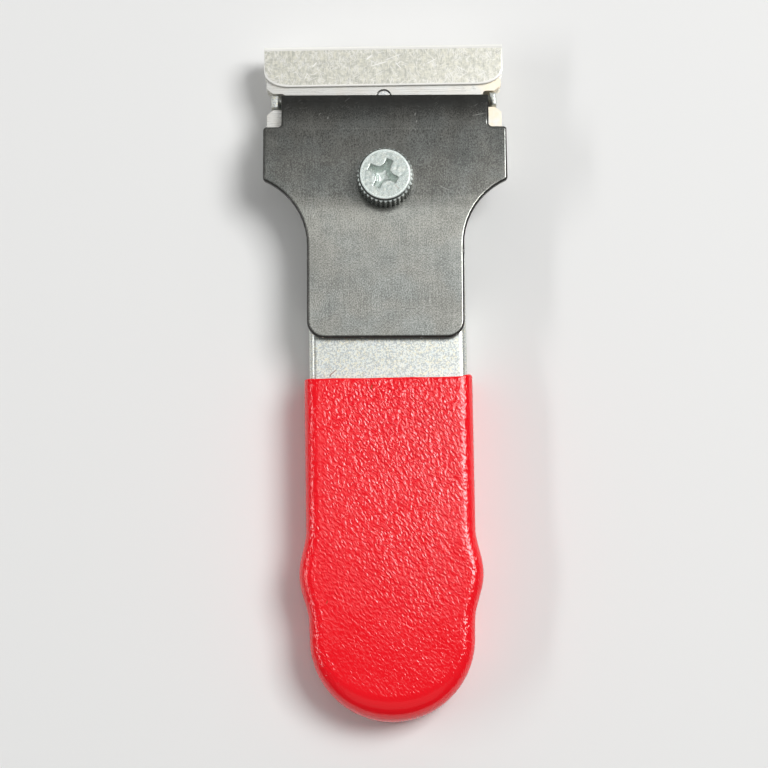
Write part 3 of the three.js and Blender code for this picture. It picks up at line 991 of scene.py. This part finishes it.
screw = {
    "teeth": 36,
    "toothShape": (0.0, 0.22, 0.72, 1.0, 0.72, 0.22),  # depth of the knurl across one tooth
    "knurl": 0.28,
    "neck": 0.1,
    "footLift": 0.02,
    "foot": 0.12,
    "seatGap": 0.06,
    "knurlTop": 0.66,
    "knurlRows": 4,
    "knurlEnd": 0.28,
    "shoulder": ((0.03, 0.18), (0.09, 0.08)),  # in from the crest, down from the knurl's top
    "toothTop": 4.32,
    "toothInner": (0.12, 0.04),  # in from the tooth's top, up from the knurl's top
    "groove": 3.86,
    "grooveSteps": ((0.1, 0.07), (0.0, 0.14)),  # out from the groove, up from the knurl's top
    "capFoot": (0.04, 0.06),  # out from the groove, then up to the cap's edge
    "capRadius": 4.04,
    "capRise": 0.38,
    "capRound": 0.18,
    "capSteps": 4,
    "capRings": 10,
    "topGap": 0.001,
    "shankRadius": 1.95,
    "threadPitch": 0.7,
    "threadDepth": 0.36,
    "threadRunIn": 0.7,
    "threadSlope": 1.3,
    "threadRoot": 0.15,
    "stepsPerPitch": 8,
    "recessTurn": -27.0,
    "recessShift": (-0.32, 0.1),
    "recessReach": 2.45,
    "recessMargin": 0.4,
    "recessArm": 1.05,
    "recessBlend": 1.4,
    "recessDeep": 1.95,
    "recessFlat": 1.05,
    "recessTipDepth": 0.75,
    "recessWall": 9.0,
    "recessEdge": 0.05,
    "recessFoot": 1.2,
    "recessRings": 56,
    "dent": 0.012,
    "dentSize": 0.5,
    "dentRow": 5.0,
    "dentBias": 0.3,
    "sharpAngle": 50,
    # painted shade (with some dirt in the knurl's valleys) and painted highlight, heights measured down
    # from the top
    "valleyIn": (0.04, 0.24),
    "valleyBelow": (0.3, 0.45),
    "valleyDirtAndShade": 0.9,
    "wallBelow": (0.2, 0.5),
    "wallShade": 0.6,
    "outlineInset": 0.06,
    "outlineWidth": (0.13, 0.03),
    "outlineShade": 0.45,
    "rimWidth": 0.36,
    "rimFade": 0.12,
    "rimBelow": (0.3, 0.2),
    "toothFade": 0.08,
    "toothFrom": (0.5, 0.6),
    "toothTo": (0.95, 0.8),
    "toothNear": (2.0, -1.0),
    "recessBelow": (0.05, 0.2),
    "recessHighlight": 0.42,
}


def crossDistance(x, y):
    # distance outside the plan of the recess: two bars joined with rounded inner corners
    reach = screw["recessReach"]
    half = screw["recessArm"] / 2
    first = max(abs(x) - reach, abs(y) - half)
    second = max(abs(y) - reach, abs(x) - half)
    blend = screw["recessBlend"]
    share = max(blend - abs(first - second), 0) / blend
    return min(first, second) - share * share * blend / 4


def recessInside(x, y):
    # how far inside the recess's outline a spot on the cap is
    turn = math.radians(-screw["recessTurn"])
    x -= screw["recessShift"][0]
    y -= screw["recessShift"][1]
    across = x * math.cos(turn) - y * math.sin(turn)
    along = x * math.sin(turn) + y * math.cos(turn)
    return -crossDistance(across, along)


def recessDepth(x, y):
    inside = recessInside(x, y)
    fromMiddle = math.hypot(x - screw["recessShift"][0], y - screw["recessShift"][1])
    flat = screw["recessFlat"]
    part = min(max((fromMiddle - flat) / (screw["recessReach"] - flat), 0), 1)
    floor = lerp(screw["recessDeep"], screw["recessTipDepth"], part)
    edge = screw["recessEdge"]
    wall = (inside + math.sqrt(inside * inside + edge * edge)) / 2 * screw["recessWall"]
    return floor * (1 - math.exp(-((wall / floor) ** 2) * screw["recessFoot"])) if wall > 0 else 0.0


def screwRings():
    low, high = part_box("thumb_screw")
    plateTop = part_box("clamp_plate")[1].z / mm
    top = high.z / mm - screw["topGap"]
    seat = plateTop + screw["seatGap"]
    tip = low.z / mm
    major = screw["shankRadius"]
    crest = (high.x - low.x) / 2 / mm
    shape = screw["toothShape"]
    count = screw["teeth"] * len(shape)
    rings = []

    def ring(radiusAt, heightAt):
        rings.append([])
        for step in range(count):
            angle = 2 * math.pi * step / count
            radius = radiusAt(step, angle)
            x = radius * math.cos(angle)
            y = radius * math.sin(angle)
            rings[-1].append((x, y, heightAt(x, y)))

    def plain(radius, height):
        ring(lambda step, angle: radius, lambda x, y: height)

    def toothed(limit, height):
        def radiusAt(step, angle):
            return min(crest - screw["knurl"] * shape[step % len(shape)], limit)

        ring(radiusAt, lambda x, y: height)

    # shank and thread
    plain(0.0, tip)
    threadTop = seat - screw["threadPitch"]
    steps = round((threadTop - tip) / screw["threadPitch"] * screw["stepsPerPitch"])
    for row in range(steps + 1):
        z = lerp(tip, threadTop, row / steps)
        fade = smooth(0, screw["threadRunIn"], z - tip)

        def thread(step, angle, z=z, fade=fade):
            turn = (z / screw["threadPitch"] - angle / (2 * math.pi)) % 1
            groove = abs(turn * 2 - 1)
            depth = min(max(screw["threadSlope"] * groove - screw["threadRoot"], 0), 1)
            return major - screw["threadDepth"] * lerp(1.0, depth, fade)

        ring(thread, lambda x, y, z=z: z)
    plain(major - screw["threadDepth"], seat)

    # knurled head
    root = crest - screw["knurl"]
    foot = seat + screw["foot"]
    knurlTop = top - screw["knurlTop"]
    plain(root - screw["neck"], seat)
    toothed(root, seat + screw["footLift"])
    toothed(crest, foot)
    for row in range(1, screw["knurlRows"] + 1):
        toothed(crest, lerp(foot, knurlTop - screw["knurlEnd"], row / screw["knurlRows"]))
    for inward, drop in screw["shoulder"]:
        toothed(crest - inward, knurlTop - drop)
    toothed(screw["toothTop"], knurlTop)
    inward, rise = screw["toothInner"]
    toothed(screw["toothTop"] - inward, knurlTop + rise)
    for outward, rise in screw["grooveSteps"]:
        plain(screw["groove"] + outward, knurlTop + rise)

    # cap and recess
    capLow = top - screw["capRise"]
    outward, rise = screw["capFoot"]
    plain(screw["groove"] + outward, capLow)
    plain(screw["capRadius"], capLow + rise)
    for turn in quarter(screw["capSteps"]):
        out = screw["capRound"] * (1 - math.cos(turn))
        plain(screw["capRadius"] - out, top - screw["capRound"] * (1 - math.sin(turn)))
    inner = screw["capRadius"] - screw["capRound"]
    outer = screw["recessReach"] + screw["recessMargin"]
    for part in range(1, screw["capRings"] + 1):
        dented(ring, lerp(inner, outer, part / screw["capRings"]), top)
    for part in range(1, screw["recessRings"] + 1):
        dented(ring, outer * (1 - part / screw["recessRings"]), top)
    return rings


def dented(ring, radius, top):
    # the cap's face: slightly uneven, with the recess pressed in
    def height(x, y):
        where = Vector((x / screw["dentSize"], y / screw["dentSize"], screw["dentRow"]))
        uneven = screw["dent"] * (noise.noise(where) - screw["dentBias"])
        return top - recessDepth(x, y) + min(uneven, 0)

    ring(lambda step, angle: radius, height)


def screwMesh():
    low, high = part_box("thumb_screw")
    centre = Vector(((low.x + high.x) / 2, (low.y + high.y) / 2, 0)) / mm
    rows = [[Vector(point) + centre for point in row] for row in screwRings()]
    mesh = toMesh(meshOf(rows), "thumbScrew", screw["sharpAngle"])
    # per point: painted shade (with some dirt in the valleys), and painted highlight on the rim, near tooth
    # tips and in the recess
    dirtAndShade = mesh.attributes.new("dirtAndShade", "FLOAT", "POINT")
    rubAndHighlight = mesh.attributes.new("rubAndHighlight", "FLOAT", "POINT")
    crest = (high.x - low.x) / 2 / mm
    for vertex in mesh.vertices:
        spot = vertex.co / mm - centre
        below = high.z / mm - spot.z
        dirtAndShade.data[vertex.index].value, rubAndHighlight.data[vertex.index].value = screwShadeAndHighlight(spot, below, crest)
    return mesh


def screwShadeAndHighlight(spot, below, crest):
    # how much painted shade (with some dirt in the valleys) and how much painted highlight the screw has at
    # a spot
    reach = math.hypot(spot.x, spot.y)
    if reach < screw["recessReach"] + screw["recessMargin"]:
        aside = abs(recessInside(spot.x, spot.y) - screw["outlineInset"])
        outline = screw["outlineShade"] * smooth(*screw["outlineWidth"], aside)
        return outline, screw["recessHighlight"] * smooth(*screw["recessBelow"], below)
    valleyFrom, valleyTo = [crest - inward for inward in screw["valleyIn"]]
    valley = smooth(valleyFrom, valleyTo, reach) * smooth(*screw["valleyBelow"], below)
    wallFrom, wallTo = [screw["knurlTop"] + drop for drop in screw["wallBelow"]]
    wall = smooth(wallFrom, wallTo, below)
    rimStart = screw["capRadius"] - screw["rimWidth"]
    rim = smooth(rimStart, rimStart + screw["rimFade"], reach) * smooth(*screw["rimBelow"], below)
    tooth = smooth(screw["toothTop"] - screw["toothFade"], screw["toothTop"], reach)
    tooth *= smooth(*screw["toothTo"], below) * smooth(*screw["toothNear"], spot.y)
    tooth *= smooth(*screw["toothFrom"], below)
    return max(valley * screw["valleyDirtAndShade"], wall * screw["wallShade"]), max(rim, tooth)


addPiece("thumbScrew", screwMesh(), "screw", "thumb_screw", "screwZinc")


# Floor, light and camera

studio = {
    "floorShade": (0.86, 0.86, 0.85),
    "floorRough": 0.85,
    "floorSize": 6.0,
    "horizon": 0.09,
    "zenith": 0.14,
    "zenithFrom": 0.9,
    "lamps": {
        # name: place, target, size, power
        "panel": ((0.07, 0.137, 0.80), (0.07, 0.137, 0.0), (0.32, 0.195), 0.27),
        "key": ((0.45, 0.22, 0.80), (0.0, 0.0, 0.0), (0.42, 0.42), 6.6),
        "leftStrip": ((-0.60, -0.02, 0.42), (0.0, -0.02, 0.008), (0.50, 0.06), 1.2),
        "nearSide": ((0.0, -0.55, 0.55), (0.0, 0.0, 0.0), (0.90, 0.50), 0.28),
        "farSide": ((0.0, 0.90, 0.20), (0.0, 0.0, 0.0), (1.20, 0.40), 1.8),
    },
}

camera = {
    "target": (-0.00071, -0.00095, 0.0069),
    "tilt": 8.2,
    "roll": 0.9,
    "distance": 0.400,
    "focalPixels": 2495.5,
    "framePixels": 768.0,
    "sensor": 36.0,
    "nearest": 0.01,
}


def addFloor():
    half = studio["floorSize"] / 2
    corners = [(-half, -half, 0), (half, -half, 0), (half, half, 0), (-half, half, 0)]
    mesh = bpy.data.meshes.new("floor")
    mesh.from_pydata(corners, [], [(0, 1, 2, 3)])
    floor = bpy.data.objects.new("floor", mesh)
    bpy.context.scene.collection.objects.link(floor)
    paint = Finish("floorPaint", Roughness=studio["floorRough"])
    paint.set({"Base Color": studio["floorShade"]})
    mesh.materials.append(paint.material)


def addLamps():
    for name, (place, target, size, power) in studio["lamps"].items():
        data = bpy.data.lights.new(name, "AREA")
        data.shape = "RECTANGLE"
        data.size, data.size_y = size
        data.energy = power
        lamp = bpy.data.objects.new(name, data)
        lamp.location = place
        aim = Vector(target) - Vector(place)
        lamp.rotation_euler = aim.to_track_quat("-Z", "Y").to_euler()
        bpy.context.scene.collection.objects.link(lamp)
    world = bpy.data.worlds.new("softRoom")
    world.use_nodes = True
    room = Nodes(world.node_tree)
    upward = room.axis("Z", room.node("TexCoord", {}, {}, "Generated"))
    height = room.band(upward, 0.0, studio["zenithFrom"])
    sky = world.node_tree.nodes["Background"]
    sky.inputs["Color"].default_value = (1, 1, 1, 1)
    plug(room.tree, sky.inputs["Strength"], lerp(studio["horizon"], studio["zenith"], height))
    bpy.context.scene.world = world


def addCamera():
    tilt = math.radians(camera["tilt"])
    roll = math.radians(camera["roll"])
    ahead = Vector((0, math.sin(tilt), -math.cos(tilt)))
    side = Vector((1, 0, 0))
    up = Vector((0, math.cos(tilt), math.sin(tilt)))
    turnedSide = side * math.cos(roll) - up * math.sin(roll)
    turnedUp = side * math.sin(roll) + up * math.cos(roll)
    data = bpy.data.cameras.new("camera")
    data.sensor_fit = "HORIZONTAL"
    data.sensor_width = camera["sensor"]
    data.lens = data.sensor_width * camera["focalPixels"] / camera["framePixels"]
    data.clip_start = camera["nearest"]
    view = bpy.data.objects.new("camera", data)
    turn = Matrix((turnedSide, turnedUp, -ahead)).transposed()
    place = Vector(camera["target"]) - ahead * camera["distance"]
    view.matrix_world = Matrix.Translation(place) @ turn.to_4x4()
    bpy.context.scene.collection.objects.link(view)
    bpy.context.scene.camera = view


addFloor()
addLamps()
addCamera()
bpy.context.scene.view_settings.view_transform = "Standard"
print("studio ready")

bpy.context.view_layer.update()
